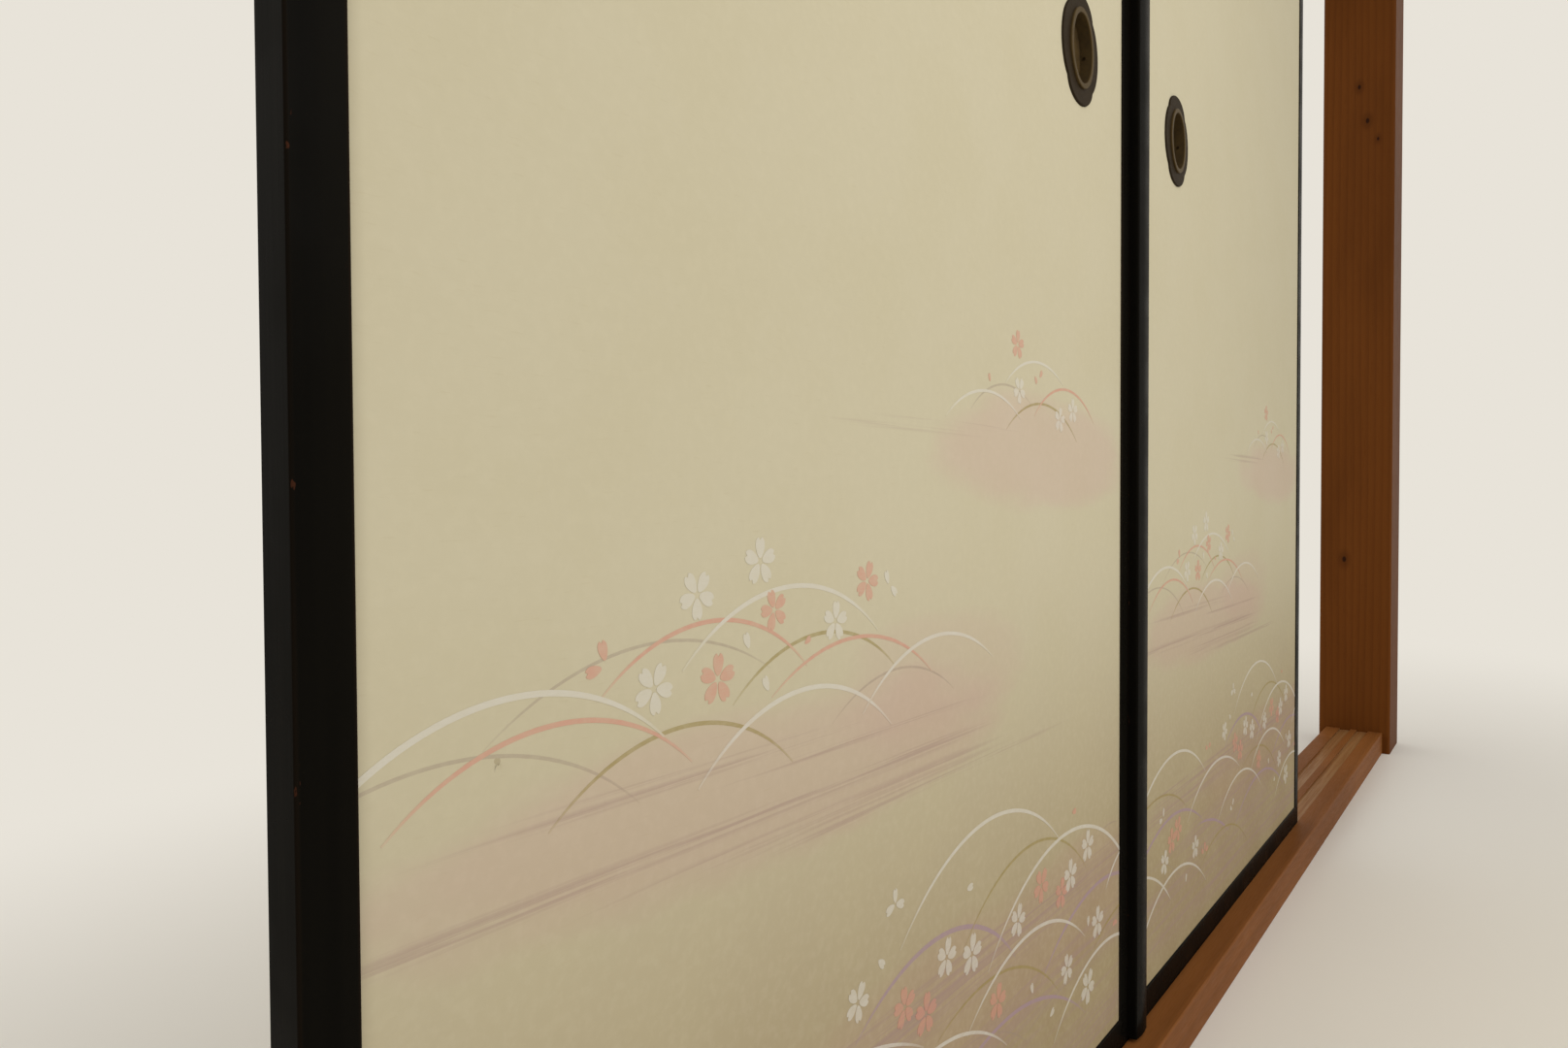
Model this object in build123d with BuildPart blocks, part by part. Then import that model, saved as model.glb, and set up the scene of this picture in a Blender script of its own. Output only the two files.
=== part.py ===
from build123d import *
import os

# A pair of papered sliding panels in their wooden frame, in millimetres.
# X runs along the wall with the joint between the panels at 0, the room side
# faces -Y, and Z is up from the floor. The front track carries both panels.

# Sliding panels
panel_width = 783
panel_depth = 20
outer_stile_face = 21
meeting_stile_face = 32
rail_face = 27
face_rounding = 1.2
paper_recess = 1.5
paper_skin = 1.0
slide_travel = 760

# Frame
opening_height = 1757
post_side = 136
post_chamfer = 3
sill_thickness = 45
head_thickness = 42
track_lip = 27
track_rib = 12
sill_groove = 3
head_groove = 15
head_engagement = 8
board_arris = 1
tenon_length = 30
tenon_depth = 60
tenon_height = 16

# Strip over the joint between the panels
strip_width = 30
strip_depth = 10.5
strip_crown = 1.5
strip_rounding = 2
strip_relief = 0.5
strip_end_gap = 4

# Lattice inside each panel
edge_batten = 18
rib_face = 12
strong_rib_face = 24
uprights_beyond_pull = 2
ribs_each_way = 5
strong_rib_place = 3
pull_bay_height = 138
corner_board_leg = 90
corner_board_depth = 6

# Folded nails between the lattice and the stiles
stile_nails_each = 4
stile_nail_thickness = 2.4
stile_nail_bite = 14
stile_nail_reach = 5
stile_nail_leg = 15
stile_nail_drive = 12
stile_nail_point = 4

# Round nails through the rails
rail_nails_each = 4
rail_nail_radius = 1.1
rail_nail_bite = 13
rail_nail_head_radius = 2.2
rail_nail_head = 0.8
rail_nail_sunk = 1.2

# Finger pulls
pull_height = 877
pull_inset = 133
plate_width = 76
plate_height = 91
plate_thickness = 1.8
plate_rounding = 1.1
end_lobe_width = 52.5
end_lobe_rise = 18.9
side_lobe_height = 67
side_lobe_rise = 23.4
cup_width = 49
cup_height = 65
cup_rim = 4.5
cup_wall = 1.0
bead_rise = 1.8
bead_rounding = 0.8
cup_back_gap = 0.8
nail_radius = 0.7
nail_head_radius = 1.3
nail_head = 0.5
nail_length = 9
nail_behind_paper = 3.5
nail_seat = 0.1

# Clearances
side_play = 0.5
running_gap = 0.3
meeting_gap = 0.5
end_gap = 1.75
tenon_fit = 0.2
lap_fit = 0.1
cup_fit = 0.3
nail_fit = 0.05

# Heights
sill_top = sill_thickness
head_bottom = sill_top + opening_height
frame_top = head_bottom + head_thickness
panel_bottom = sill_top - sill_groove + running_gap
panel_top = head_bottom + head_engagement
core_bottom = sill_top + rail_face
core_top = head_bottom - rail_face
pull_z = sill_top + pull_height
sill_middle = sill_thickness / 2
head_middle = head_bottom + head_thickness / 2
core_middle = (core_bottom + core_top) / 2

# Places across the wall
groove_width = panel_depth + 2 * side_play
groove_y = (track_rib + groove_width) / 2
board_depth = track_rib + 2 * groove_width + 2 * track_lip
panel_y = -groove_y
panel_front = panel_y - panel_depth / 2
paper_front = panel_front + paper_recess
core_depth = panel_depth - 2 * (paper_recess + paper_skin)
wall_width = cup_width - 2 * (cup_rim - cup_wall)
wall_height = cup_height - 2 * (cup_rim - cup_wall)
cup_sink = (panel_depth - cup_back_gap) / 2 - paper_recess

# Places along the wall, each a distance from the joint between the panels
panel_near = meeting_gap / 2
core_near = panel_near + meeting_stile_face
panel_far = panel_near + panel_width
core_far = panel_far - outer_stile_face
half_opening = panel_far + slide_travel + end_gap
core_width = core_far - core_near
core_height = core_top - core_bottom
batten_near = core_near + edge_batten
batten_far = core_far - edge_batten

# The board behind the pull reaches from the near batten to the first upright,
# and the other uprights share the width that is left.
pull_bay_width = 2 * (pull_inset - batten_near)
first_upright = batten_near + pull_bay_width + rib_face / 2
upright_step = (batten_far - first_upright) / (uprights_beyond_pull + 1)
uprights = [first_upright + upright_step * n for n in range(uprights_beyond_pull + 1)]

# Cross ribs stand in two stacks, one above and one below the pull's bay, and
# one rib of each stack is a strong one.
lowest_rib = core_bottom + edge_batten / 2
highest_rib = core_top - edge_batten / 2
rib_from_pull = (pull_bay_height + rib_face) / 2
low_step = (pull_z - rib_from_pull - lowest_rib) / ribs_each_way
high_step = (highest_rib - pull_z - rib_from_pull) / ribs_each_way
cross_rows = []
for place in range(ribs_each_way):
    face = strong_rib_face if place == strong_rib_place - 1 else rib_face
    cross_rows.append((pull_z - rib_from_pull - place * low_step, face))
    cross_rows.append((pull_z + rib_from_pull + place * high_step, face))

# Nails stand at even steps along the stiles and the rails
stile_nail_heights = [
    core_bottom + core_height * (n + 0.5) / stile_nails_each for n in range(stile_nails_each)
]
rail_nail_reaches = [
    core_near + core_width * (n + 0.5) / rail_nails_each for n in range(rail_nails_each)
]

os.makedirs("parts", exist_ok=True)


def finish(piece, name):
    """Label a finished piece and write it under its own name."""
    piece.part.label = name
    export_step(piece.part, f"parts/{name}.step")


def make_track_board(name, middle, thickness, groove, groove_face):
    """A sill or head: a board with two grooves and a stub tenon at each end."""
    with BuildPart() as board:
        with Locations((0, 0, middle)):
            Box(2 * half_opening, board_depth, thickness)
        chamfer(board.edges().filter_by(Axis.X), board_arris)
        with Locations((0, 0, middle)):
            Box(2 * (half_opening + tenon_length), tenon_depth, tenon_height)
        with Locations((0, -groove_y, groove_face), (0, groove_y, groove_face)):
            Box(2 * half_opening, groove_width, 2 * groove, mode=Mode.SUBTRACT)
    finish(board, name)


def make_post(side, name):
    """A square post with eased arrises and a mortise for each track board."""
    mortise_x = side * (half_opening + (tenon_length + tenon_fit) / 2)
    with BuildPart() as post:
        with BuildSketch():
            with Locations((side * (half_opening + post_side / 2), 0)):
                Rectangle(post_side, post_side)
            chamfer(vertices(), post_chamfer)
        extrude(amount=frame_top)
        with Locations((mortise_x, 0, sill_middle), (mortise_x, 0, head_middle)):
            Box(
                tenon_length + tenon_fit,
                tenon_depth + 2 * tenon_fit,
                tenon_height + 2 * tenon_fit,
                mode=Mode.SUBTRACT,
            )
    finish(post, name)


def make_stile(seat, way, face, name):
    """An upright of the panel's lacquered edging. Its seat is the face against
    the lattice, where each folded nail has a pocket. The stile is knocked down
    along them, so that their points stand in the wood above the pockets."""
    slot = stile_nail_thickness + 2 * lap_fit
    pocket_depth = stile_nail_reach + slot / 2
    pocket_height = stile_nail_leg + slot / 2
    pocket_middle = pocket_height / 2 - slot / 2 - stile_nail_drive
    with BuildPart() as stile:
        with BuildSketch(Plane.XY.offset(panel_bottom)):
            with Locations((seat + way * face / 2, panel_y)):
                RectangleRounded(face, panel_depth, face_rounding)
        extrude(amount=panel_top - panel_bottom)
        for z in stile_nail_heights:
            with Locations((seat + way * pocket_depth / 2, panel_y, z + pocket_middle)):
                Box(pocket_depth, slot, pocket_height, mode=Mode.SUBTRACT)
            with Locations((seat + way * stile_nail_reach, panel_y, z + stile_nail_leg / 2)):
                Box(slot, slot, stile_nail_leg, mode=Mode.SUBTRACT)
    finish(stile, name)


def make_rail(side, outer, inner, name):
    """A rail of the edging, between the two stiles, with its nails' holes sunk
    into its outer edge."""
    way = 1 if outer > inner else -1
    holes = [Plane((side * x, panel_y, outer), z_dir=(0, 0, way)) for x in rail_nail_reaches]
    with BuildPart() as rail:
        with BuildSketch(Plane.YZ.offset(side * core_near)):
            with Locations((panel_y, (outer + inner) / 2)):
                RectangleRounded(panel_depth, abs(outer - inner), face_rounding)
        extrude(amount=side * core_width)
        with Locations(*holes):
            CounterBoreHole(
                rail_nail_radius + nail_fit,
                rail_nail_head_radius + lap_fit,
                rail_nail_sunk,
            )
    finish(rail, name)


def make_stile_nails(side, hand):
    """Flat nails driven into the lattice's edge, each with its end folded up."""
    half = stile_nail_thickness / 2
    with BuildPart() as nails:
        with BuildSketch(Plane.XZ.offset(-panel_y)):
            for seat, way in ((side * core_far, side), (side * core_near, -side)):
                tip = seat - way * stile_nail_bite
                shoulder = tip + way * stile_nail_point
                leg = seat + way * stile_nail_reach
                for z in stile_nail_heights:
                    end = z + stile_nail_leg
                    with BuildLine():
                        Polyline(
                            (tip, z),
                            (shoulder, z - half),
                            (leg + way * half, z - half),
                            (leg + way * half, end - stile_nail_point),
                            (leg, end),
                            (leg - way * half, end - stile_nail_point),
                            (leg - way * half, z + half),
                            (shoulder, z + half),
                            close=True,
                        )
                    make_face()
        extrude(amount=half, both=True)
    finish(nails, f"{hand}_stile_nails")


def make_rail_nails(side, hand):
    """Round nails from the outer edge of each rail into the lattice."""
    with BuildPart() as nails:
        for outer, inner, way in ((panel_bottom, core_bottom, -1), (panel_top, core_top, 1)):
            under_head = outer - way * rail_nail_sunk
            shank = abs(under_head - inner) + rail_nail_bite
            for x in rail_nail_reaches:
                with Locations((side * x, panel_y, under_head + way * rail_nail_head / 2)):
                    Cylinder(rail_nail_head_radius, rail_nail_head)
                with Locations((side * x, panel_y, under_head - way * shank / 2)):
                    Cylinder(rail_nail_radius, shank)
    finish(nails, f"{hand}_rail_nails")


def make_battens(side, hand):
    """The lattice's outline: two uprights and two rails, halved at the corners,
    with a hole for each nail that holds the edging."""
    columns = [side * (core_near + edge_batten / 2), side * (core_far - edge_batten / 2)]
    rows = [lowest_rib, highest_rib]
    slot = stile_nail_thickness + 2 * lap_fit
    bites = [side * (core_near + stile_nail_bite / 2), side * (core_far - stile_nail_bite / 2)]
    with BuildPart() as upright_battens:
        with Locations(*[(x, panel_y, core_middle) for x in columns]):
            Box(edge_batten, core_depth, core_height)
        with Locations(*[(x, panel_y - core_depth / 4, z) for x in columns for z in rows]):
            Box(edge_batten, core_depth / 2, edge_batten, mode=Mode.SUBTRACT)
        with Locations(*[(x, panel_y, z) for x in bites for z in stile_nail_heights]):
            Box(stile_nail_bite, slot, slot, mode=Mode.SUBTRACT)
    finish(upright_battens, f"{hand}_upright_battens")
    with BuildPart() as cross_battens:
        with Locations(*[(side * (core_near + core_far) / 2, panel_y, z) for z in rows]):
            Box(core_width, core_depth, edge_batten)
        with Locations(*[(x, panel_y + core_depth / 4, z) for x in columns for z in rows]):
            Box(edge_batten, core_depth / 2, edge_batten, mode=Mode.SUBTRACT)
        for z in (core_bottom + rail_nail_bite / 2, core_top - rail_nail_bite / 2):
            with Locations(*[(side * x, panel_y, z) for x in rail_nail_reaches]):
                Cylinder(rail_nail_radius + nail_fit, rail_nail_bite, mode=Mode.SUBTRACT)
    finish(cross_battens, f"{hand}_cross_battens")


def make_ribs(side, hand):
    """The ribs inside the battens, halved into each other wherever they cross."""
    columns = [side * x for x in uprights]
    with BuildPart() as upright_ribs:
        with Locations(*[(x, panel_y, core_middle) for x in columns]):
            Box(rib_face, core_depth, core_height - 2 * edge_batten)
        for z, face in cross_rows:
            with Locations(*[(x, panel_y - core_depth / 4, z) for x in columns]):
                Box(rib_face, core_depth / 2, face + 2 * lap_fit, mode=Mode.SUBTRACT)
    finish(upright_ribs, f"{hand}_upright_ribs")
    with BuildPart() as cross_ribs:
        for z, face in cross_rows:
            with Locations((side * (batten_near + batten_far) / 2, panel_y, z)):
                Box(batten_far - batten_near, core_depth, face)
            with Locations(*[(x, panel_y + core_depth / 4, z) for x in columns]):
                Box(rib_face + 2 * lap_fit, core_depth / 2, face, mode=Mode.SUBTRACT)
    finish(cross_ribs, f"{hand}_cross_ribs")


def make_corner_boards(side, hand):
    """Thin three-cornered boards that keep the lattice square."""
    with BuildPart() as boards:
        with BuildSketch(Plane.XZ.offset(-panel_y)):
            for x, inward in ((side * batten_near, side), (side * batten_far, -side)):
                for z, upward in ((core_bottom + edge_batten, 1), (core_top - edge_batten, -1)):
                    with BuildLine():
                        Polyline(
                            (x, z),
                            (x + inward * corner_board_leg, z),
                            (x, z + upward * corner_board_leg),
                            close=True,
                        )
                    make_face()
        extrude(amount=corner_board_depth / 2, both=True)
    finish(boards, f"{hand}_corner_boards")


def pull_plane(side, front):
    """The paper's surface at a pull, with its axis pointing out of the panel."""
    if front:
        return Plane((side * pull_inset, paper_front, pull_z), x_dir=(1, 0, 0), z_dir=(0, -1, 0))
    back = 2 * panel_y - paper_front
    return Plane((side * pull_inset, back, pull_z), x_dir=(-1, 0, 0), z_dir=(0, 1, 0))


def pull_nail_places(side, front):
    """Middles of the cup's two nail holes, one in each side of its wall."""
    depth = nail_behind_paper - panel_depth / 2 + paper_recess
    y = panel_y + (depth if front else -depth)
    reach = cup_width / 2 - cup_rim
    return [(side * pull_inset + way * reach, y, way) for way in (1, -1)]


def make_pull_board(side, hand):
    """The board between two ribs that the pulls are let into and nailed to."""
    with BuildPart() as board:
        with Locations((side * pull_inset, panel_y, pull_z)):
            Box(pull_bay_width, core_depth, pull_bay_height)
        with BuildSketch(Plane.XZ.offset(-panel_y)):
            with Locations((side * pull_inset, pull_z)):
                Ellipse(wall_width / 2 + cup_fit, wall_height / 2 + cup_fit)
        extrude(amount=core_depth / 2, both=True, mode=Mode.SUBTRACT)
        for front in (True, False):
            for x, y, way in pull_nail_places(side, front):
                with Locations(Location((x + way * nail_length / 2, y, pull_z), (0, 90, 0))):
                    Cylinder(nail_radius + nail_fit, nail_length, mode=Mode.SUBTRACT)
    finish(board, f"{hand}_pull_board")


def make_paper(side, front, name):
    """The pasted paper on one face of the lattice, cut out for the pull's cup."""
    plane = pull_plane(side, front)
    with BuildPart() as paper:
        with BuildSketch(Plane.XZ.offset(-plane.origin.Y)):
            with Locations((side * (core_near + core_far) / 2, core_middle)):
                Rectangle(core_width, core_height)
            with Locations((side * pull_inset, pull_z)):
                Ellipse(wall_width / 2 + cup_fit, wall_height / 2 + cup_fit, mode=Mode.SUBTRACT)
        extrude(amount=-paper_skin if front else paper_skin)
    finish(paper, name)


def make_lobes(plane, length, width, rise):
    """Two opposite half-oval lobes of the plate along the plane's Y, with the
    straight part between them and the whole rim rounded."""
    centre = length / 2 - rise
    with BuildPart() as lobes:
        with BuildSketch(plane):
            Rectangle(width, 2 * centre)
            with Locations((0, centre), (0, -centre)):
                Ellipse(width / 2, rise)
        extrude(amount=plate_thickness)
        rim = lobes.faces().sort_by(Axis(plane.origin, plane.z_dir))[-1]
        fillet(rim.edges(), plate_rounding)
    return lobes.part


def make_pull(side, front, name):
    """A four-lobed plate, an oval cup that clamps it, and the cup's two nails."""
    plane = pull_plane(side, front)
    lying = Plane(plane.origin, x_dir=plane.y_dir, z_dir=plane.z_dir)
    end_lobes = make_lobes(plane, plate_height, end_lobe_width, end_lobe_rise)
    side_lobes = make_lobes(lying, plate_width, side_lobe_height, side_lobe_rise)
    with BuildPart() as plate:
        add(end_lobes)
        add(side_lobes)
        with BuildSketch(plane):
            Ellipse(wall_width / 2 + cup_fit, wall_height / 2 + cup_fit)
        extrude(amount=plate_thickness, mode=Mode.SUBTRACT)
    finish(plate, f"{name}_plate")
    with BuildPart() as cup:
        with BuildSketch(plane.offset(plate_thickness)):
            Ellipse(cup_width / 2, cup_height / 2)
        extrude(amount=bead_rise)
        with BuildSketch(plane.offset(-cup_sink)):
            Ellipse(wall_width / 2, wall_height / 2)
        extrude(amount=cup_sink + plate_thickness)
        with BuildSketch(plane.offset(cup_wall - cup_sink)):
            Ellipse(wall_width / 2 - cup_wall, wall_height / 2 - cup_wall)
        extrude(amount=cup_sink + plate_thickness + bead_rise, mode=Mode.SUBTRACT)
        top = cup.faces().sort_by(Axis(plane.origin, plane.z_dir))[-1]
        fillet(top.edges(), bead_rounding)
        for x, y, way in pull_nail_places(side, front):
            with Locations(Location((x, y, pull_z), (0, 90, 0))):
                Cylinder(nail_radius + nail_fit, 4 * cup_wall, mode=Mode.SUBTRACT)
    finish(cup, f"{name}_cup")
    with BuildPart() as nails:
        for x, y, way in pull_nail_places(side, front):
            seat = x - way * nail_seat
            with Locations(Location((seat - way * nail_head / 2, y, pull_z), (0, 90, 0))):
                Cylinder(nail_head_radius, nail_head)
            middle = (seat + x + way * nail_length) / 2
            with Locations(Location((middle, y, pull_z), (0, 90, 0))):
                Cylinder(nail_radius, nail_length + nail_seat)
    finish(nails, f"{name}_nails")


def make_strip():
    """The strip fixed to the left panel, which covers the joint and is relieved
    behind so that it clears the right panel's stile."""
    back = panel_front
    relieved = panel_front - strip_relief
    front = panel_front - strip_depth
    with BuildPart() as strip:
        with BuildSketch(Plane.XY.offset(sill_top + strip_end_gap)):
            with BuildLine():
                left = -strip_width / 2
                right = strip_width / 2
                Polyline(
                    (left, front + strip_crown),
                    (left, back),
                    (-panel_near, back),
                    (-panel_near, relieved),
                    (right, relieved),
                    (right, front + strip_crown),
                )
                ThreePointArc((left, front + strip_crown), (0, front), (right, front + strip_crown))
            make_face()
            fillet(vertices().group_by(Axis.Y)[0], strip_rounding)
        extrude(amount=opening_height - 2 * strip_end_gap)
    finish(strip, "left_joint_strip")


make_track_board("sill", sill_middle, sill_thickness, sill_groove, sill_top)
make_track_board("head", head_middle, head_thickness, head_groove, head_bottom)
for side, hand in ((-1, "left"), (1, "right")):
    make_post(side, f"{hand}_post")
    make_stile(side * core_far, side, outer_stile_face, f"{hand}_outer_stile")
    make_stile(side * core_near, -side, meeting_stile_face, f"{hand}_meeting_stile")
    make_rail(side, panel_bottom, core_bottom, f"{hand}_bottom_rail")
    make_rail(side, panel_top, core_top, f"{hand}_top_rail")
    make_stile_nails(side, hand)
    make_rail_nails(side, hand)
    make_battens(side, hand)
    make_ribs(side, hand)
    make_corner_boards(side, hand)
    make_pull_board(side, hand)
    for front, face in ((True, "front"), (False, "back")):
        make_paper(side, front, f"{hand}_{face}_paper")
        make_pull(side, front, f"{hand}_{face}_pull")
make_strip()
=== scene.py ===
import math

import bmesh
import bpy
from mathutils import Euler, Matrix, Vector


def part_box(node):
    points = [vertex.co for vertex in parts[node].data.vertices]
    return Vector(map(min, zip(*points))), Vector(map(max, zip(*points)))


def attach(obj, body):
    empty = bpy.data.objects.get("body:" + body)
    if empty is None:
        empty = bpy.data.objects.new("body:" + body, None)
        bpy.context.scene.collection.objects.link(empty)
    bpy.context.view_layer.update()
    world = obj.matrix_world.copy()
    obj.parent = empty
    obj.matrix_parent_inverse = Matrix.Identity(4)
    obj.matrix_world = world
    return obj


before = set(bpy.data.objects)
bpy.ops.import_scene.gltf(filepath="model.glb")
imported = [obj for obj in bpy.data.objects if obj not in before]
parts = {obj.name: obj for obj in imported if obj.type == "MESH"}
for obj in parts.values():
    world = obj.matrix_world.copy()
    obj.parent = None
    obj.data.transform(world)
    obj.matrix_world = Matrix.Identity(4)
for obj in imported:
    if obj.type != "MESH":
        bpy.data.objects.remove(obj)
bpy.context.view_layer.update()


# Viewpoint. The eye is half a metre off the floor and a forearm in front of the left panel,
# just outside its outer stile, and looks along the pair towards the right-hand post.
eye = Vector((-0.9309, -0.3333, 0.5501))
# all three in degrees
look_round, look_down, lean = 37.75, 1.238, -0.258
camera_data = bpy.data.cameras.new("viewpoint")
camera_data.sensor_width = 36
camera_data.lens = 22.65
camera_data.clip_start = 0.02
camera = bpy.data.objects.new("viewpoint", camera_data)
turned = Euler((math.radians(90 - look_down), 0, math.radians(look_round - 90)))
camera.matrix_world = (
    Matrix.Translation(eye) @ turned.to_matrix().to_4x4()
    @ Matrix.Rotation(math.radians(lean), 4, "Z"))
bpy.context.scene.collection.objects.link(camera)
bpy.context.scene.camera = camera


# Room. A pale plain floor runs under the sill and fades into a pale surround, and one broad
# round lamp hangs in front of the left panel, higher than its pull.
def swatch(red, green, blue):
    """A colour matched and given 0 to 255, as the strength of each light."""
    plain = []
    for part in (red, green, blue):
        part /= 255
        plain.append(part / 12.92 if part <= 0.04045 else ((part + 0.055) / 1.055) ** 2.4)
    return (*plain, 1.0)


def feed(tree, node, fed):
    """Gives a step its values, each a plain one or the outcome of an earlier step."""
    for socket, value in fed.items():
        if isinstance(value, bpy.types.NodeSocket):
            tree.links.new(value, node.inputs[socket])
        else:
            node.inputs[socket].default_value = value


def step(tree, kind, fed, **setting):
    """Adds one step of a finish to its tree, set and fed."""
    made = tree.nodes.new("ShaderNode" + kind)
    for word, value in setting.items():
        setattr(made, word, value)
    feed(tree, made, fed)
    return made


def calc(tree, way, *values):
    """One sum on steps or numbers, such as ADD or MAXIMUM."""
    return step(tree, "Math", dict(enumerate(values)), operation=way).outputs[0]


def times(tree, first, *others):
    """The product of two or more steps or numbers."""
    for other in others:
        first = calc(tree, "MULTIPLY", first, other)
    return first


def ease(tree, value, low, high, start=0.0, end=1.0):
    """Turns a value between low and high softly into start to end."""
    fed = {"Value": value, "From Min": low, "From Max": high, "To Min": start, "To Max": end}
    return step(tree, "MapRange", fed, interpolation_type="SMOOTHSTEP").outputs[0]


def finish_named(name):
    """An empty finish with its shader and the place on the piece."""
    made = bpy.data.materials.new(name)
    made.use_nodes = True
    tree = made.node_tree
    shader = tree.nodes["Principled BSDF"]
    place = step(tree, "TexCoord", {}).outputs["Object"]
    return made, tree, shader, place


floor_reach = 7.0
floor_mesh = bmesh.new()
bmesh.ops.create_grid(floor_mesh, x_segments=1, y_segments=1, size=floor_reach)
floor_data = bpy.data.meshes.new("floor")
floor_mesh.to_mesh(floor_data)
floor_mesh.free()
floor = bpy.data.objects.new("floor", floor_data)
bpy.context.scene.collection.objects.link(floor)
surround_tone = swatch(232, 227, 217)
floor_paint, tree, shader, place = finish_named("pale_floor")
shader.inputs["Base Color"].default_value = swatch(246, 242, 233)
shader.inputs["Roughness"].default_value = 0.6
shader.inputs["Specular IOR Level"].default_value = 0.2
seen = step(tree, "LightPath", {}).outputs["Is Camera Ray"]
# the floor keeps its own tone twice as far along the sill as across it
squeezed = step(tree, "Mapping", {"Vector": place, "Scale": (0.5, 1, 1)}).outputs[0]
away = step(tree, "VectorMath", {0: squeezed}, operation="LENGTH").outputs["Value"]
far_share = times(tree, seen, ease(tree, away, 0.5, 1.8))
far_glow = step(tree, "Emission", {"Color": surround_tone, "Strength": 1.0}).outputs[0]
faded = step(tree, "MixShader", {0: far_share, 1: shader.outputs[0], 2: far_glow}).outputs[0]
tree.links.new(faded, tree.nodes["Material Output"].inputs["Surface"])
floor_data.materials.append(floor_paint)

surround = bpy.data.worlds.new("pale_surround")
bpy.context.scene.world = surround
surround.use_nodes = True
tree = surround.node_tree
tree.nodes.clear()
seen_surround = step(tree, "Background", {"Color": surround_tone, "Strength": 1.0})
soft_light = step(tree, "Background", {"Color": swatch(255, 252, 247), "Strength": 0.66})
ray = step(tree, "LightPath", {}).outputs
seen = calc(tree, "MAXIMUM", ray["Is Camera Ray"],
              calc(tree, "MAXIMUM", ray["Is Glossy Ray"], ray["Is Transmission Ray"]))
both = step(tree, "MixShader", {
    0: seen, 1: soft_light.outputs[0], 2: seen_surround.outputs[0]})
step(tree, "OutputWorld", {"Surface": both.outputs[0]})

lamp_data = bpy.data.lights.new("hanging_lamp", "AREA")
lamp_data.shape = "DISK"
lamp_data.size = 1.2
lamp_data.energy = 7.9
lamp_data.color = (1.0, 0.985, 0.955)
lamp = bpy.data.objects.new("hanging_lamp", lamp_data)
lamp_at, lamp_aim = Vector((-0.35, -1.25, 1.4)), Vector((-0.3, 0, 0.85))
lamp_turn = (lamp_at - lamp_aim).to_track_quat("Z", "Y").to_matrix().to_4x4()
lamp.matrix_world = Matrix.Translation(lamp_at) @ lamp_turn
bpy.context.scene.collection.objects.link(lamp)


# Sill and head. Two long boards of softwood, sawn near the heart and stained warm brown, with
# planed grooves for the panels. Sliding has rubbed the stain pale in the grooves of the sill.
def blend_of(tree, share, first, second, way="MIX"):
    """First colour, going over to the second as the share rises, or tinted by it."""
    # inputs 6 and 7, and output 2, are the ones that carry a colour
    fed = {0: share, 6: first, 7: second}
    return step(tree, "Mix", fed, data_type="RGBA", blend_type=way).outputs[2]


def bump_from(tree, height, strength, distance):
    """Relief that only shows in the light, from a height, with its depth in metres."""
    fed = {"Height": height, "Strength": strength, "Distance": distance}
    return step(tree, "Bump", fed).outputs[0]


def stretched(along, factor):
    """A stretch by the factor along one way, X, Y or Z."""
    return tuple(factor if way == along else 1 for way in "XYZ")


def speckle(tree, place, size, detail, rough, stretch=(1, 1, 1)):
    """Cloudy unevenness of one size, in metres, drawn out where the stretch is over 1."""
    scale = tuple(1 / (size * part) for part in stretch)
    moved = step(tree, "Mapping", {"Vector": place, "Scale": scale})
    fed = {"Vector": moved.outputs[0], "Scale": 1.0, "Detail": detail, "Roughness": rough}
    return step(tree, "TexNoise", fed).outputs[0]


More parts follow.
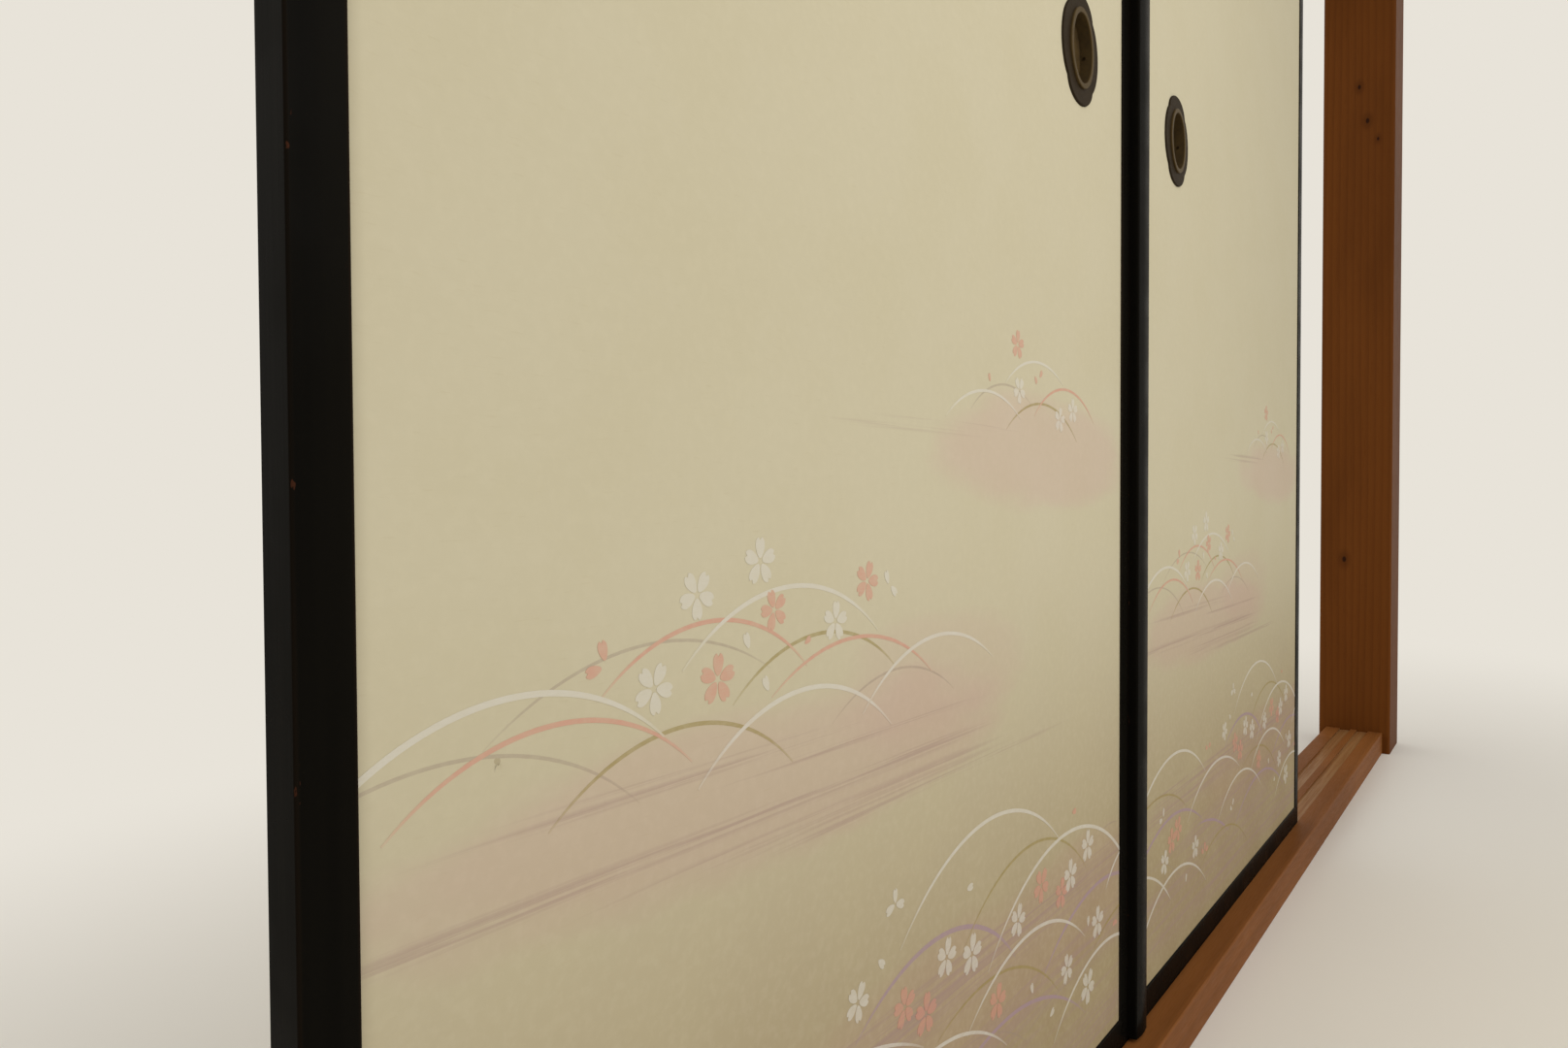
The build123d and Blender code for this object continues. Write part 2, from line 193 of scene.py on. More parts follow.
def stained_board(name, heart, along, light, dark, worn_under=None, knots=()):
    """Stained softwood: year rings round its heart, fine pores, knots and rubbed grooves."""
    made, tree, shader, place = finish_named(name)
    drawn = stretched(along, 0.12)
    moved = step(tree, "Mapping", {
        "Vector": place, "Location": tuple(-part * one for part, one in zip(heart, drawn)),
        "Scale": drawn}).outputs[0]
    rings = step(tree, "TexWave", {
        "Vector": moved, "Scale": 24.0, "Distortion": 5.0, "Detail": 2.0,
        "Detail Scale": 0.35, "Detail Roughness": 0.5},
        wave_type="RINGS", rings_direction=along, wave_profile="SAW").outputs["Fac"]
    pores = speckle(tree, place, 0.0011, 3.0, 0.6, stretched(along, 26))
    cloud = speckle(tree, place, 0.16, 3.0, 0.6, stretched(along, 4))
    late_wood = ease(tree, rings, 0.3, 0.98, 0.0, 0.24)
    tone = blend_of(tree, late_wood, light, dark)
    tone = blend_of(tree, ease(tree, pores, 0.5, 0.78, 0.0, 0.3), tone, dark)
    tone = blend_of(tree, ease(tree, cloud, 0.35, 0.75, 0.0, 0.5), tone, dark)
    # a knot runs through in the line of the panels, and shows a little taller than wide
    for across, height, size in knots:
        aside = step(tree, "Mapping", {
            "Vector": place, "Scale": (0, 1, 0.6),
            "Location": (0, -across, -0.6 * height)}).outputs[0]
        off = step(tree, "VectorMath", {0: aside}, operation="LENGTH").outputs["Value"]
        tone = blend_of(tree, ease(tree, off, size, 3.5 * size, 0.5, 0.0), tone, dark)
        tone = blend_of(tree, ease(tree, off, 0.5 * size, size, 0.9, 0.0), tone, knot_brown)
    gloss = ease(tree, pores, 0.3, 0.7, 0.46, 0.62)
    if worn_under is not None:
        apart = step(tree, "SeparateXYZ", {0: place}).outputs
        rubs = speckle(tree, place, 0.004, 4.0, 0.65, (60, 1, 1))
        low = ease(tree, apart[2], worn_under - 0.0006, worn_under, 1.0, 0.0)
        in_grooves = calc(tree, "LESS_THAN", calc(tree, "ABSOLUTE", apart[1]), grooves_within)
        rubbed = times(tree, low, in_grooves, ease(tree, rubs, 0.35, 0.65, 0.25, 0.9))
        tone = blend_of(tree, rubbed, tone, rubbed_brown)
        gloss = calc(tree, "SUBTRACT", gloss, times(tree, rubbed, 0.2))
    relief = calc(tree, "ADD", pores, times(tree, rings, 0.2))
    feed(tree, shader, {
        "Base Color": tone, "Roughness": gloss, "Specular IOR Level": 0.06,
        "Normal": bump_from(tree, relief, 0.2, 0.0003)})
    return made


brown_stain, dark_stain = swatch(145, 91, 45), swatch(96, 54, 20)
rubbed_brown = swatch(158, 118, 76)
# how far the grooves reach from the middle of the sill, and how far down wear begins
grooves_within, just_under = 0.04, 0.0008
sill_heart, head_heart = (0, 0.03, -0.06), (0, -0.05, 1.93)
sill_wood = stained_board("sill_stained_wood", sill_heart, "X", brown_stain, dark_stain,
                          worn_under=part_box("sill")[1].z - just_under)
head_wood = stained_board("head_stained_wood", head_heart, "X", brown_stain, dark_stain)
parts["sill"].data.materials[0] = sill_wood
parts["head"].data.materials[0] = head_wood


# Posts. One square stick at each end of the opening, cut beside the heart, so that rings show
# on its ends and long arches on its faces. Stained a shade darker than the boards, with a
# few pin knots that run through it in the line of the panels.
post_brown, post_dark, knot_brown = swatch(109, 61, 20), swatch(74, 38, 9), swatch(38, 18, 7)
# across the post, height and radius of each knot, in metres
pin_knots = {
    "left_post": [(0.012, 0.63, 0.005), (-0.028, 1.18, 0.006), (0.03, 1.52, 0.004)],
    "right_post": [(-0.017, 1.37, 0.0045), (-0.001, 1.446, 0.004), (-0.037, 1.327, 0.003),
                   (0.021, 0.42, 0.005)],
}
for post_name in ("left_post", "right_post"):
    low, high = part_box(post_name)
    heart = (high.x + 0.02, 0.11, 0.9) if low.x < 0 else (low.x - 0.02, 0.12, 0.9)
    parts[post_name].data.materials[0] = stained_board(
        post_name + "_stained_wood", heart, "Z", post_brown, post_dark,
        knots=pin_knots[post_name])


# Lattice. Thin ribs of pale cedar, halved where they cross, in a frame of battens, with boards
# in its corners and behind the pulls. It is all under the paper and shows at no side.
def bare_cedar(name, along):
    """Planed cedar with close straight grain and no finish on it."""
    made, tree, shader, place = finish_named(name)
    grain = speckle(tree, place, 0.0016, 3.0, 0.55, stretched(along, 40))
    tone = blend_of(tree, ease(tree, grain, 0.35, 0.68), pale_cedar, late_cedar)
    feed(tree, shader, {
        "Base Color": tone, "Roughness": 0.72, "Normal": bump_from(tree, grain, 0.2, 0.0003)})
    return made


pale_cedar, late_cedar = swatch(214, 180, 136), swatch(176, 132, 88)
cross_cedar, upright_cedar = bare_cedar("cross_cedar", "X"), bare_cedar("upright_cedar", "Z")
for hand in ("left", "right"):
    for piece in ("cross_ribs", "cross_battens"):
        parts[f"{hand}_{piece}"].data.materials[0] = cross_cedar
    for piece in ("upright_ribs", "upright_battens", "corner_boards", "pull_board"):
        parts[f"{hand}_{piece}"].data.materials[0] = upright_cedar


# Edging nails. Flat steel nails with a folded end hold the stiles, and round ones hold the
# rails. They are hidden in the wood, apart from the round heads in the rails' outer edges.
nail_steel, tree, shader, place = finish_named("plain_steel")
scale_bloom = speckle(tree, place, 0.0012, 3.0, 0.6)
bare_steel, rusted = swatch(128, 124, 118), swatch(92, 74, 60)
feed(tree, shader, {
    "Base Color": blend_of(tree, ease(tree, scale_bloom, 0.5, 0.72), bare_steel, rusted),
    "Roughness": ease(tree, scale_bloom, 0.4, 0.7, 0.34, 0.6), "Metallic": 0.9})
for hand in ("left", "right"):
    for kind in ("stile_nails", "rail_nails"):
        parts[f"{hand}_{kind}"].data.materials[0] = nail_steel


# Paper. Each face is one sheet of thick cream paper with clouded pulp and short fibres, with
# painted shade that darkens it towards the foot. The room side is printed with pink haze and dry
# strokes of mauve mist.
paper_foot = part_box("left_front_paper")[0].z
left_edge = {hand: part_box(f"{hand}_front_paper")[0].x for hand in ("left", "right")}
paper_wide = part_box("left_front_paper")[1].x - left_edge["left"]
panel_middle = (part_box("left_front_paper")[0].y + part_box("left_back_paper")[1].y) / 2
# the right sheet was cut so that its print lies a little further along and up
print_from = {"left": left_edge["left"], "right": left_edge["right"] + 0.012}
print_foot = {"left": paper_foot, "right": paper_foot + 0.005}
cream, painted_foot_shade = swatch(206, 198, 171), swatch(164, 146, 113)
cloud_cream, fleck_cream = swatch(196, 186, 150), swatch(222, 214, 188)
fibre_tan, stile_shade_tan = swatch(186, 172, 136), swatch(160, 150, 124)
haze_pink, mist_mauve = swatch(255, 243, 252), swatch(166, 141, 132)
# centre along and up, reach along and up, strength; in millimetres from the print's corner
haze_patches = [
    (553, 514, 188, 46, 0.85), (240, 337, 272, 46, 0.8), (395, 366, 135, 46, 0.42),
    (568, 139, 420, 62, 0.6),
]
# from, to, height above the foot, thickness, strength
mist_strokes = [
    (215, 495, 523.5, 4.0, 0.3), (290, 530, 529.5, 4.4, 0.36), (24, 346, 357.4, 3.2, 0.26),
    (-20, 350, 352.4, 5.0, 0.46), (150, 500, 343.7, 4.8, 0.52), (-90, 505, 323.0, 10.0, 0.5),
    (60, 520, 310.0, 7.0, 0.42), (95, 530, 305.0, 4.6, 0.32), (168, 630, 300.0, 6.0, 0.44),
    (-60, 800, 172.3, 5.0, 0.5), (-60, 700, 165.0, 4.0, 0.56), (120, 830, 158.0, 5.0, 0.6),
    (-80, 560, 153.0, 3.6, 0.5), (60, 800, 112.5, 5.0, 0.46), (-60, 480, 104.6, 6.0, 0.55),
    (200, 820, 98.0, 5.0, 0.55), (-90, 610, 69.0, 6.0, 0.46), (80, 830, 55.5, 7.0, 0.55),
    (-60, 700, 41.5, 6.0, 0.5), (-60, 830, 24.8, 8.0, 0.52), (120, 830, 11.0, 6.0, 0.46),
    (-60, 830, 152.0, 44.0, 0.46), (60, 830, 96.0, 52.0, 0.5), (-90, 600, 64.0, 48.0, 0.46),
    (-60, 830, 26.0, 44.0, 0.46),
]

ground = bpy.data.node_groups.new("printed_ground", "ShaderNodeTree")
ground.interface.new_socket("Colour", in_out="OUTPUT", socket_type="NodeSocketColor")
ground.interface.new_socket("Tooth", in_out="OUTPUT", socket_type="NodeSocketFloat")
place = step(ground, "TexCoord", {}).outputs["Object"]
apart = step(ground, "SeparateXYZ", {0: place}).outputs
# along and up are counted on each sheet in millimetres, from the corner of its own print
on_right = calc(ground, "GREATER_THAN", apart[0], 0.0)
edge_here = calc(ground, "MULTIPLY_ADD", on_right, print_from["right"] - print_from["left"],
                 print_from["left"])
foot_here = calc(ground, "MULTIPLY_ADD", on_right, print_foot["right"] - print_foot["left"],
                 print_foot["left"])
along = times(ground, calc(ground, "SUBTRACT", apart[0], edge_here), 1000.0)
up = times(ground, calc(ground, "SUBTRACT", apart[2], foot_here), 1000.0)
pulp = speckle(ground, place, 0.09, 4.0, 0.6)
fine_pulp = speckle(ground, place, 0.006, 3.0, 0.6)
fibre = speckle(ground, place, 0.0012, 2.0, 0.5, (9, 1, 1))
# painted shade: the sheet is darker towards its foot, where the room's light falls off
tone = blend_of(ground, ease(ground, up, 40.0, 480.0), painted_foot_shade, cream)
tone = blend_of(ground, ease(ground, pulp, 0.35, 0.7, 0.0, 0.16), tone, cloud_cream)
tone = blend_of(ground, ease(ground, fine_pulp, 0.4, 0.75, 0.0, 0.1), tone, fleck_cream)
tone = blend_of(ground, ease(ground, fibre, 0.62, 0.8, 0.0, 0.16), tone, fibre_tan)
drift = speckle(ground, place, 0.05, 3.0, 0.55, (2.5, 1, 1))
front_side = calc(ground, "LESS_THAN", apart[1], panel_middle)
for middle, height, reach, rise, strength in haze_patches:
    sideways = calc(ground, "MULTIPLY_ADD", along, 1 / reach, -middle / reach)
    sideways = calc(ground, "POWER", calc(ground, "ABSOLUTE", sideways), 2.6)
    upwards = calc(ground, "MULTIPLY_ADD", up, 1 / rise, -height / rise)
    upwards = calc(ground, "POWER", calc(ground, "ABSOLUTE", upwards), 2.0)
    away = calc(ground, "ADD", calc(ground, "ADD", sideways, upwards),
                ease(ground, drift, 0.3, 0.7, -0.22, 0.22))
    share = times(ground, ease(ground, away, 0.35, 1.08, strength, 0.0), front_side)
    tone = blend_of(ground, share, tone, haze_pink, "MULTIPLY")
bristles = speckle(ground, place, 0.0016, 2.0, 0.6, (110, 1, 1))
bristle_gaps = ease(ground, bristles, 0.42, 0.57, 0.04, 1.0)
for start, end, height, thick, strength in mist_strokes:
    fading = min(120, (end - start) * 0.35)
    coming = ease(ground, along, start, start + fading)
    going = ease(ground, along, end - fading, end, 1.0, 0.0)
    body = times(ground, coming, going)
    off = calc(ground, "ABSOLUTE", calc(ground, "SUBTRACT", up, height))
    half = calc(ground, "MULTIPLY_ADD", body, thick * 0.5, 0.15)
    core = ease(ground, calc(ground, "DIVIDE", off, half), 0.1, 1.2, strength, 0.0)
    share = times(ground, core, body, bristle_gaps, front_side)
    tone = blend_of(ground, share, tone, mist_mauve)
from_joint = calc(ground, "ABSOLUTE", apart[0])
border = calc(ground, "MINIMUM",
              calc(ground, "SUBTRACT", from_joint, left_edge["right"]),
              calc(ground, "SUBTRACT", left_edge["right"] + paper_wide, from_joint))
# painted shade: a narrow band of the paper beside the stiles is darker, where it sits back from
# the rim
tone = blend_of(ground, ease(ground, border, 0.0, 0.006, 0.28, 0.0), tone, stile_shade_tan)
tooth = calc(ground, "ADD", fine_pulp, times(ground, fibre, 0.7))
feed(ground, ground.nodes.new("NodeGroupOutput"), {"Colour": tone, "Tooth": tooth})


def on_paper(name, ink=None, cover=1.0):
    """The printed ground, with an ink over it where one is named, as strong as its film says."""
    made, tree, shader, _ = finish_named(name)
    under = tree.nodes.new("ShaderNodeGroup")
    under.node_tree = ground
    tone = under.outputs["Colour"]
    if ink:
        strength = step(tree, "Attribute", {}, attribute_name="strength").outputs["Fac"]
        grainy = ease(tree, under.outputs["Tooth"], 0.55, 1.15, 1.0, 0.72)
        tone = blend_of(tree, times(tree, strength, cover, grainy), tone, ink)
    feed(tree, shader, {
        "Base Color": tone, "Roughness": 0.82, "Specular IOR Level": 0.08,
        "Normal": bump_from(tree, under.outputs["Tooth"], 0.12, 0.0003)})
    return made


sheet_paper = on_paper("printed_paper")
for hand in ("left", "right"):
    for side in ("front", "back"):
        parts[f"{hand}_{side}_paper"].data.materials[0] = sheet_paper


# Printed hills. Low arcs like hills or grass, each one stroke of body colour through a stencil,
# thick at its crown and fading at its ends, in chalk white, coral, moss, mauve and violet.
def through_three(start, crown, end):
    """Centre and radius of the round that passes through three points."""
    (ax, az), (bx, bz), (cx, cz) = start, crown, end
    twist = 2 * (ax * (bz - cz) + bx * (cz - az) + cx * (az - bz))
    a, b, c = ax * ax + az * az, bx * bx + bz * bz, cx * cx + cz * cz
    middle = ((a * (bz - cz) + b * (cz - az) + c * (az - bz)) / twist,
              (a * (cx - bx) + b * (ax - cx) + c * (bx - ax)) / twist)
    return middle, math.dist(middle, start)


def on_sheet(hand, along, up, lift):
    """A point of the print, in millimetres from its corner, as a place in the room."""
    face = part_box(f"{hand}_front_paper")[0].y
    return Vector((
        print_from[hand] + along / 1000, face - lift / 1000, print_foot[hand] + up / 1000))


def add_hill(film, hand, hill, lift):
    """One arc, spun from a short edge, then thinned and faded towards its free ends."""
    start, crown, end, width = hill[:2], hill[2:4], hill[4:6], hill[6]
    (cx, cz), radius = through_three(start, crown, end)
    first = math.atan2(start[1] - cz, start[0] - cx)
    last = math.atan2(end[1] - cz, end[0] - cx)
    turn = (first - last) % (2 * math.pi)
    middle = on_sheet(hand, cx, cz, lift)
    out = Vector((math.cos(first), 0, math.sin(first)))
    before = len(film.verts)
    rim = [film.verts.new(middle + out * (radius + side * width / 2) / 1000)
           for side in (-1, 1)]
    edge = film.edges.new(rim)
    # a step for every 5 mm of the arc, and 14 at least
    steps = max(14, int(radius * turn / 5))
    bmesh.ops.spin(film, geom=[*rim, edge], cent=middle, axis=(0, 1, 0), angle=turn, steps=steps)
    film.verts.ensure_lookup_table()
    strength = film.verts.layers.float["strength"]
    open_start, open_end = start[0] > 0, end[0] < paper_wide * 1000
    taper, thinnest = 0.4, 0.4
    for point in film.verts[before:]:
        arm = point.co - middle
        gone = ((first - math.atan2(arm.z, arm.x)) % (2 * math.pi)) / turn
        # a point a hair before the start would else count as a full turn on
        gone = 0.0 if gone > 1.5 else min(gone, 1.0)
        rise = min(1.0, gone / taper) if open_start else 1.0
        fall = min(1.0, (1 - gone) / taper) if open_end else 1.0
        full = thinnest + (1 - thinnest) * (
            math.sin(math.pi / 2 * rise) * math.sin(math.pi / 2 * fall))
        point.co = middle + arm.normalized() * (
            radius / 1000 + (arm.length - radius / 1000) * full)
        point[strength] = min(1.0, 0.3 + 1.8 * min(rise, fall))


def start_film():
    """An empty film of ink, which remembers how strong it is at each point."""
    film = bmesh.new()
    film.verts.layers.float.new("strength")
    return film


def lay_film(film, name, hand, ink):
    """Trims the film at the sheet's sides, thickens it down to the paper, and lets it ride."""
    low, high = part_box(f"{hand}_front_paper")
    for side, out in ((low, -1), (high, 1)):
        bmesh.ops.bisect_plane(film, geom=[*film.verts, *film.edges, *film.faces],
                               plane_co=side, plane_no=(out, 0, 0), clear_outer=True)
    grown = bmesh.ops.extrude_face_region(film, geom=film.faces[:])
    for point in [one for one in grown["geom"] if isinstance(one, bmesh.types.BMVert)]:
        point.co.y = low.y
    bmesh.ops.recalc_face_normals(film, faces=film.faces[:])
    data = bpy.data.meshes.new(name)
    film.to_mesh(data)
    film.free()
    data.materials.append(ink)
    piece = bpy.data.objects.new(name, data)
    bpy.context.scene.collection.objects.link(piece)
    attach(piece, f"{hand}_panel")


# along and up of the start, crown and end, then the width at the crown, in millimetres; an arc
# that runs off the sheet starts or ends beyond its side
white_hills = [
    (401, 534, 461, 555, 515, 539, 2.0), (489, 563, 548, 584, 595, 571, 2.0),
    (-22, 368, 64, 405, 142, 375, 2.6), (154, 402, 237, 435, 318, 404, 2.5),
    (164, 346, 248, 380, 333, 346, 2.6), (302, 357, 393, 393, 469, 369, 2.4),
    (343, 206, 467, 255, 590, 206, 2.8), (462, 147, 603, 207, 752, 137, 3.0),
    (430, 115, 533, 150, 645, 108, 2.8), (140, 121, 265, 164, 371, 134, 2.8),
    (268, 90, 372, 126, 492, 82, 2.6), (579, 45, 688, 86, 752, 73, 2.8),
    (695, 132, 707, 143, 752, 161, 2.4), (-22, 167, 92, 207, 212, 162, 2.8),
    (-22, 108, 33, 91, 81, 56, 2.6), (-22, 34, 98, 82, 216, 35, 2.8),
]
coral_hills = [
    (540, 543, 602, 568, 662, 545, 2.0), (8, 363, 82, 391, 160, 360, 2.1),
    (105, 397, 175, 423, 249, 392, 2.1), (219, 380, 294, 402, 382, 371, 2.1),
]
moss_hills = [
    (491, 530, 556, 553, 625, 527, 1.8), (78, 349, 155, 377, 236, 344, 2.0),
    (189, 381, 263, 408, 338, 380, 2.0), (423, 174, 532, 217, 649, 165, 2.1),
    (386, 128, 453, 141, 589, 83, 2.1), (665, 89, 746, 108, 752, 108, 2.1),
    (-22, 165, 32, 173, 136, 141, 2.1), (185, 51, 281, 76, 409, 31, 2.1),
]
mauve_hills = [
    (436, 541, 492, 562, 534, 551, 1.5), (-22, 375, 31, 386, 127, 349, 1.5),
    (48, 387, 139, 417, 218, 395, 1.5), (272, 357, 341, 378, 412, 355, 1.5),
    (526, 74, 590, 83, 631, 80, 1.3), (428, 109, 477, 98, 534, 63, 1.3),
    (686, 188, 700, 189, 725, 186, 1.3), (62, 100, 89, 87, 120, 67, 1.3),
]
violet_hills = [
    (293, 169, 384, 197, 507, 141, 3.3), (555, 104, 677, 144, 752, 130, 3.3),
    (340, 55, 485, 101, 646, 42, 3.1), (-22, 115, 85, 143, 204, 108, 3.3),
    (183, 108, 245, 98, 318, 66, 3.1),
]
chalk_white = on_paper("chalk_white_ink", swatch(217, 213, 203), 0.74)
coral = on_paper("coral_ink", swatch(211, 150, 133), 0.74)
moss = on_paper("moss_ink", swatch(158, 141, 84), 0.74)
mauve = on_paper("mauve_ink", swatch(160, 142, 130), 0.48)
violet = on_paper("violet_ink", swatch(167, 143, 154), 0.88)
for hand in ("left", "right"):
    for name, hills, ink, lift in (("mauve_hills", mauve_hills, mauve, 0.03),
                                   ("violet_hills", violet_hills, violet, 0.05),
                                   ("moss_hills", moss_hills, moss, 0.08),
                                   ("coral_hills", coral_hills, coral, 0.11),
                                   ("white_hills", white_hills, chalk_white, 0.14)):
        film = start_film()
        for order, hill in enumerate(hills):
            add_hill(film, hand, hill, lift + 0.001 * order)
        lay_film(film, f"{hand}_{name}", hand, ink)


# Printed blossoms. Five-petalled cherry blossoms and loose petals over the hills, in chalk
# white and coral. Each petal is a drop of thick colour with a small notch at its tip.
def add_petal(film, hand, along, up, length, turn, lift, gap=0.0):
    """One petal, pointing turn degrees clockwise from upright, from gap out of its root."""
    before = len(film.verts)
    bmesh.ops.create_circle(film, cap_ends=True, segments=20, radius=0.5)
    film.verts.ensure_lookup_table()
    strength = film.verts.layers.float["strength"]
    root = on_sheet(hand, along, up, lift)
    spun = Matrix.Rotation(math.radians(turn), 3, "Y")
    notch_deep, notch_half = 0.16, 0.13
    for point in film.verts[before:]:
        out, across = point.co.x + 0.5, point.co.y
        notch = notch_deep * max(0.0, 1 - abs(across) / notch_half) if out > 0.8 else 0.0
        # narrow at its root and broad near its tip
        across *= 0.62 * (0.62 + 0.55 * out)
        reach = gap + (out - notch) * (length - gap)
        point.co = root + spun @ Vector((across * length, 0, reach)) / 1000
        point[strength] = 0.9


def add_blossom(film, hand, along, up, size, turn, lift):
    """Five petals round one heart, with a star of bare paper between their roots."""
    for petal in range(5):
        add_petal(film, hand, along, up, size, turn + 72 * petal, lift, 0.13 * size)


# along, up, size, turn of the first petal
white_blossoms = [
    (513, 560, 10.4, 36), (589, 543, 10.4, 10), (616, 552, 10.4, 0), (164, 436, 12, 36),
    (210, 449, 12.4, 0), (136, 397, 12, 30), (275, 413, 11.5, 6), (296, 193, 12, 30),
    (401, 180, 13.5, 15), (437, 169, 14.5, 10), (511, 167, 13, 20), (613, 170, 14, 0),
    (651, 184, 14, 5), (675, 110, 14.5, 5), (606, 95, 12.8, -10), (652, 62, 15.5, 36),
    (60, 101, 13.5, 20), (172, 86, 13.5, 5),
]
coral_blossoms = [
    (510, 593, 11, 5), (221, 424, 10.8, -18), (178, 395, 12.6, 3), (307, 433, 12, 20),
    (348, 169, 13, -5), (374, 154, 14, 8), (554, 180, 14.2, 40), (594, 161, 13, 15),
    (477, 120, 13.6, 15), (84, 117, 14, 0), (106, 124, 14, 30),
]
# along, up, length, the way it points
white_petals = [
    (201, 407, 8.5, -20), (216, 384, 8.5, -25), (330, 430, 8.5, -20), (333, 428, 8.5, 130),
    (318, 209, 9, 130), (430, 216, 9, 90), (538, 102, 9, -20), (571, 70, 9, 70),
    (653, 114, 9, 0), (135, 58, 9, 20), (333, 88, 9, -60), (336, 93, 9, 40),
    (337, 237, 9, 0), (336, 236, 10, -105), (338, 236, 10, 105), (55, 150, 9, 10),
    (51, 148, 9, -95),
]
coral_petals = [
    (465, 562, 6, -20), (541, 573, 6.5, 150), (550, 573, 7, 40), (106, 410, 9, -100),
    (108, 413, 9, -15), (247, 404, 6, 60), (617, 221, 8.5, 90), (713, 94, 8, 80),
    (725, 93, 8, -70), (221, 187, 9, -70), (225, 188, 9, 75), (206, 70, 10, -60),
    (210, 71, 10, 10), (214, 70, 10, 80),
]
for hand in ("left", "right"):
    for name, blossoms, petals, ink, lift in (
            ("coral_blossoms", coral_blossoms, coral_petals, coral, 0.17),
            ("white_blossoms", white_blossoms, white_petals, chalk_white, 0.20)):
        film = start_film()
        for order, blossom in enumerate(blossoms):
            add_blossom(film, hand, *blossom, lift + 0.001 * order)
        for order, petal in enumerate(petals):
            add_petal(film, hand, *petal, lift + 0.02 + 0.001 * order)
        lay_film(film, f"{hand}_{name}", hand, ink)


# Lifted flake. Beside a coral arc on the left panel a knock has raised a flake of the sheet,
# which holds by its foot in front of the brown layer that it has bared.
bare_layer = on_paper("bare_layer", swatch(160, 145, 113), 0.6)
scar_along, scar_up, scar_reach, scar_rise = 54.6, 382.6, 1.4, 1.7
scar = start_film()
bmesh.ops.create_circle(scar, cap_ends=True, segments=14, radius=1.0)
for order, point in enumerate(scar.verts):
    ragged = 1 + 0.12 * math.sin(5 * order)
    point[scar.verts.layers.float["strength"]] = 0.9
    point.co = on_sheet("left", scar_along + scar_reach * ragged * point.co.x,
                        scar_up + scar_rise * ragged * point.co.y, 0.02)
lay_film(scar, "left_bare_layer", "left", bare_layer)
flake_middle, flake_foot, flake_wide, flake_tall = scar_along + 0.4, scar_up - 4.2, 3.4, 2.6
flake_mesh = bmesh.new()
bmesh.ops.create_grid(flake_mesh, x_segments=8, y_segments=8, size=0.5)
for point in flake_mesh.verts:
    across, rise = point.co.x, point.co.y + 0.5
    ragged = 0.25 * rise * math.sin(11 * across)
    curl = 0.4 * rise * rise
    point.co = on_sheet("left", flake_middle + flake_wide * across * (1 - curl),
                        flake_foot + flake_tall * rise + ragged, 0.05 + curl)
bmesh.ops.solidify(flake_mesh, geom=flake_mesh.faces[:], thickness=0.00012)
bmesh.ops.recalc_face_normals(flake_mesh, faces=flake_mesh.faces[:])
flake_data = bpy.data.meshes.new("left_lifted_flake")
flake_mesh.to_mesh(flake_data)
flake_mesh.free()
flake_data.materials.append(sheet_paper)
flake = bpy.data.objects.new("left_lifted_flake", flake_data)
bpy.context.scene.collection.objects.link(flake)
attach(flake, "left_panel")


# Rim and cover strip. Stiles and rails of thin wood under a black lacquer that was brushed on
# and rubbed to a low sheen, thin and brown on the arrises and chipped where hands reach.
def black_lacquer(node, chips):
    """Brushed black lacquer for one stick: ripples along it, brown arrises, a few chips."""
    made, tree, shader, place = finish_named(node + "_lacquer")
    low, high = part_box(node)
    long_way = max(range(3), key=lambda way: high[way] - low[way])
    length = "XYZ"[long_way]
    apart = step(tree, "SeparateXYZ", {0: place}).outputs
    near = []
    for way in range(3):
        if way != long_way:
            from_low = calc(tree, "SUBTRACT", apart[way], low[way])
            from_high = calc(tree, "SUBTRACT", high[way], apart[way])
            near.append(calc(tree, "MINIMUM", from_low, from_high))
    arris = calc(tree, "ADD", *near)
    patchy = speckle(tree, place, 0.03, 3.0, 0.6, stretched(length, 30))
    nicks = speckle(tree, place, 0.006, 3.0, 0.6, stretched(length, 2))
    thin = times(tree, ease(tree, arris, 0.0002, 0.0018, 1.0, 0.0),
                 ease(tree, patchy, 0.4, 0.7, 0.15, 1.0))
    tone = blend_of(tree, ease(tree, patchy, 0.3, 0.7), deep_black, warm_black)
    tone = blend_of(tree, thin, tone, thin_brown)
    chipped = times(tree, ease(tree, nicks, 0.72 - chips, 0.74 - chips),
                    ease(tree, arris, 0.0010, 0.0024, 1.0, 0.0))
    tone = blend_of(tree, chipped, tone, chip_brown)
    smears = speckle(tree, place, 0.05, 3.0, 0.65)
    gloss = ease(tree, smears, 0.3, 0.7, 0.2, 0.38)
    gloss = calc(tree, "ADD", gloss, times(tree, chipped, 0.4))
    ripple = speckle(tree, place, 0.002, 2.0, 0.5, stretched(length, 30))
    relief = calc(tree, "SUBTRACT", times(tree, ripple, 0.35), chipped)
    feed(tree, shader, {
        "Base Color": tone, "Roughness": gloss, "Specular IOR Level": 0.012,
        "Normal": bump_from(tree, relief, 0.22, 0.0004)})
    return made


deep_black, warm_black = swatch(12, 11, 9), swatch(19, 17, 13)
thin_brown, chip_brown = swatch(34, 25, 17), swatch(62, 36, 24)
for hand in ("left", "right"):
    for stick, chips in (("outer_stile", 0.03), ("meeting_stile", 0.0),
                         ("bottom_rail", 0.02), ("top_rail", 0.0)):
        node = f"{hand}_{stick}"
        parts[node].data.materials[0] = black_lacquer(node, chips)
parts["left_joint_strip"].data.materials[0] = black_lacquer("left_joint_strip", 0.03)


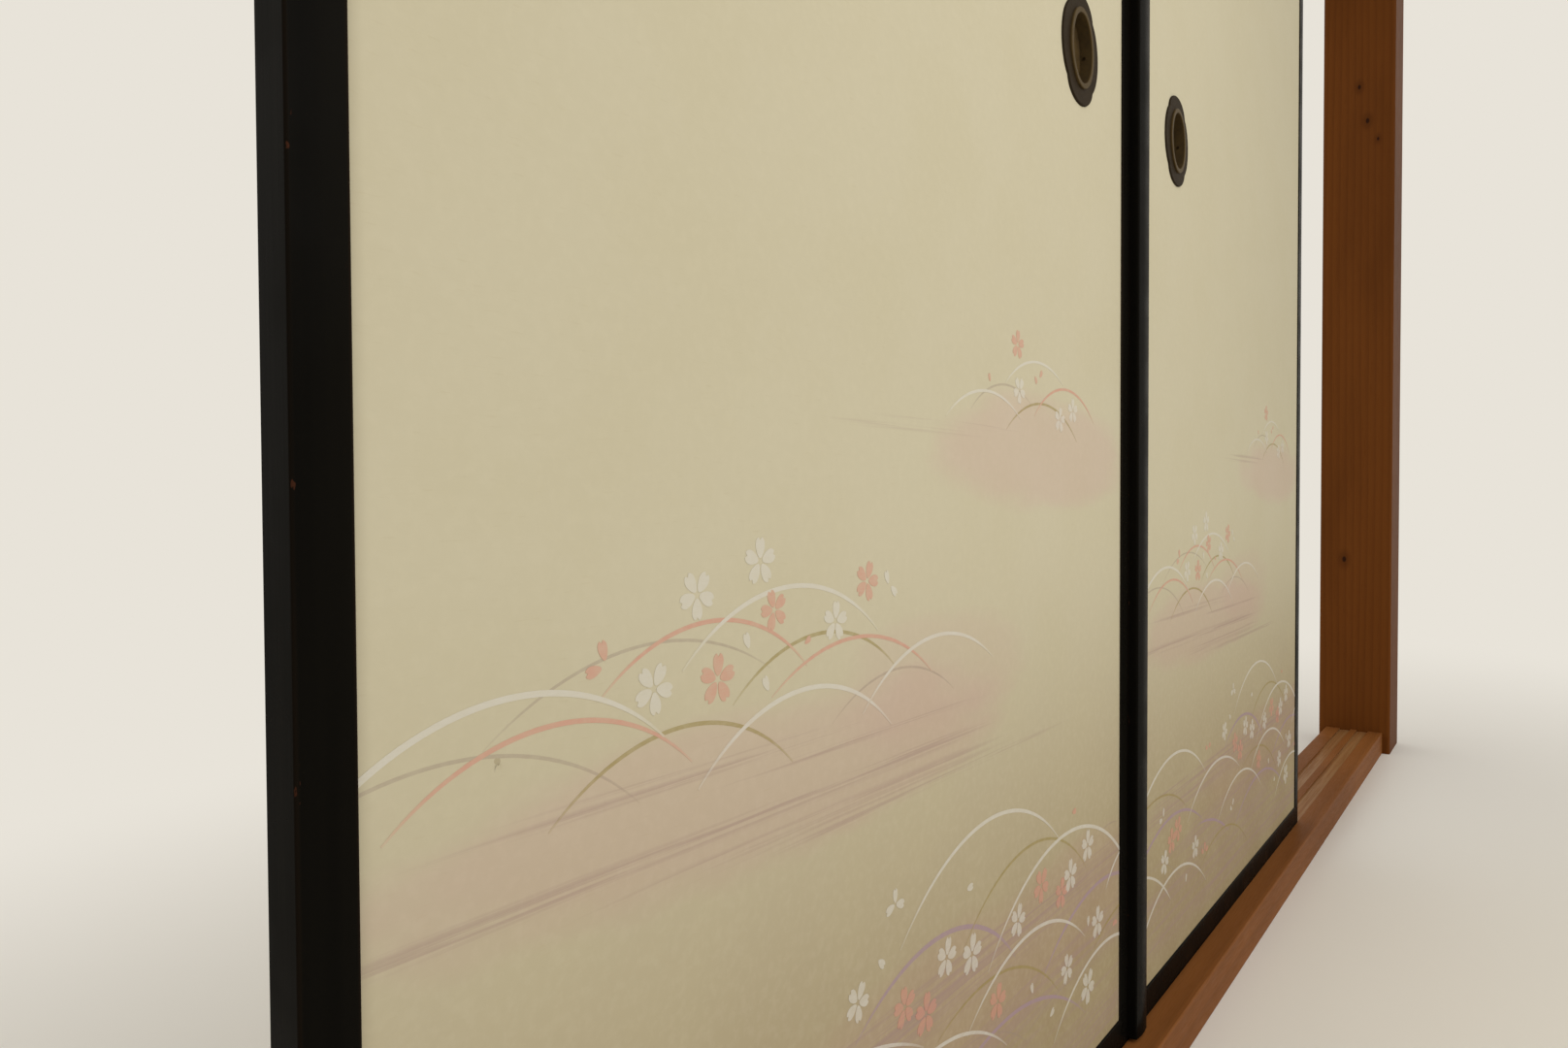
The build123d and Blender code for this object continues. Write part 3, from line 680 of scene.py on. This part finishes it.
# Pulls. A lobed plate and a pressed oval cup of copper alloy, dipped to a dark brown bronze.
# Fingers keep the cup glossier than the plate, and two small nails hold it in its board.
def pull_bronze(name, rubbed_tone, dipped, rub_from, rub_to, gloss_low, gloss_high, metal):
    """Dipped bronze, rubbed where it stands furthest from the middle of the panel."""
    made, tree, shader, place = finish_named(name)
    across = step(tree, "SeparateXYZ", {0: place}).outputs[1]
    from_middle = calc(tree, "ABSOLUTE", calc(tree, "SUBTRACT", across, panel_middle))
    bloom = speckle(tree, place, 0.011, 4.0, 0.6)
    fine = speckle(tree, place, 0.0008, 2.0, 0.6)
    proud = ease(tree, from_middle, rub_from, rub_to)
    rubbed = times(tree, proud, ease(tree, bloom, 0.25, 0.6, 0.55, 1.0))
    tone = blend_of(tree, ease(tree, bloom, 0.35, 0.7, 0.0, 0.5), dipped, bloom_brown)
    tone = blend_of(tree, rubbed, tone, rubbed_tone)
    gloss = ease(tree, fine, 0.3, 0.7, gloss_low, gloss_high)
    gloss = calc(tree, "SUBTRACT", gloss, times(tree, rubbed, 0.08))
    feed(tree, shader, {
        "Base Color": tone, "Roughness": gloss, "Metallic": metal,
        "Specular IOR Level": 0.04, "Normal": bump_from(tree, fine, 0.12, 0.0002)})
    return made


bloom_brown = swatch(52, 44, 34)
plate_bronze = pull_bronze(
    "plate_bronze", rubbed_tone=swatch(52, 41, 26), dipped=swatch(41, 33, 22),
    rub_from=0.0100, rub_to=0.0106, gloss_low=0.52, gloss_high=0.66, metal=0.06)
cup_bronze = pull_bronze(
    "cup_bronze", rubbed_tone=swatch(78, 63, 36), dipped=swatch(84, 68, 42),
    rub_from=0.0104, rub_to=0.0116, gloss_low=0.42, gloss_high=0.56, metal=0.18)
nail_bronze = pull_bronze(
    "nail_bronze", rubbed_tone=swatch(120, 98, 64), dipped=swatch(70, 56, 38),
    rub_from=0.0100, rub_to=0.0110, gloss_low=0.3, gloss_high=0.42, metal=0.85)
for hand in ("left", "right"):
    for side in ("front", "back"):
        parts[f"{hand}_{side}_pull_plate"].data.materials[0] = plate_bronze
        parts[f"{hand}_{side}_pull_cup"].data.materials[0] = cup_bronze
        parts[f"{hand}_{side}_pull_nails"].data.materials[0] = nail_bronze


bpy.context.scene.view_settings.view_transform = "Standard"
